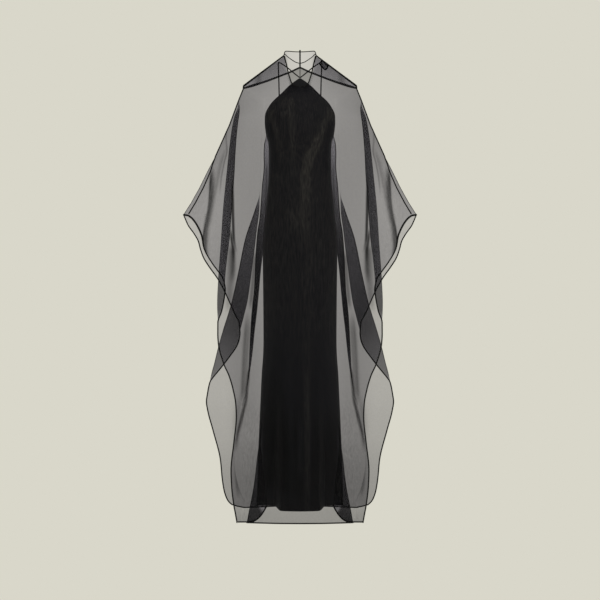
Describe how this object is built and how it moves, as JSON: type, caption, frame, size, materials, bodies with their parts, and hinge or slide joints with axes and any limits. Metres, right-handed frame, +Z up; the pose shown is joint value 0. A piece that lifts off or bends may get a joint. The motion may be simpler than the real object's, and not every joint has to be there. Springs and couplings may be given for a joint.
{
  "type": "kaftan",
  "caption": "Floor-length sheer organza kaftan with batwing sleeves and free cascade edges, over its own halter slip on thin straps; worn form, hollow",
  "frame": {"origin": "midway between the two high points of the shoulders, from which the garment hangs on its wearer", "axes": "+X is the viewer's right, the front faces -Y, +Z is up"},
  "size_m": [0.7766, 0.3774, 1.5664],
  "materials": {
    "organza": "sheer black organza",
    "binding": "folded black binding",
    "neck_mesh": "very fine pale net",
    "button": "small dark button",
    "slip_satin": "black satin-faced cloth"
  },
  "bodies": {
    "root": {"kaftan_front": "organza", "kaftan_back": "organza", "yoke_left": "organza", "yoke_right": "organza", "shoulder_binding_left": "binding", "shoulder_binding_right": "binding", "neck_binding_left": "binding", "neck_binding_right": "binding", "back_edge_binding_left": "binding", "back_edge_binding_right": "binding", "neck_mesh": "neck_mesh", "neck_top_cord": "binding", "neck_sagging_cord": "binding", "centre_back_tab": "binding", "neck_button": "button", "neck_bead": "button", "blank_label": "binding", "slip_front": "slip_satin", "slip_back": "slip_satin", "strap_left": "slip_satin", "strap_right": "slip_satin"}
  },
  "joints": []
}
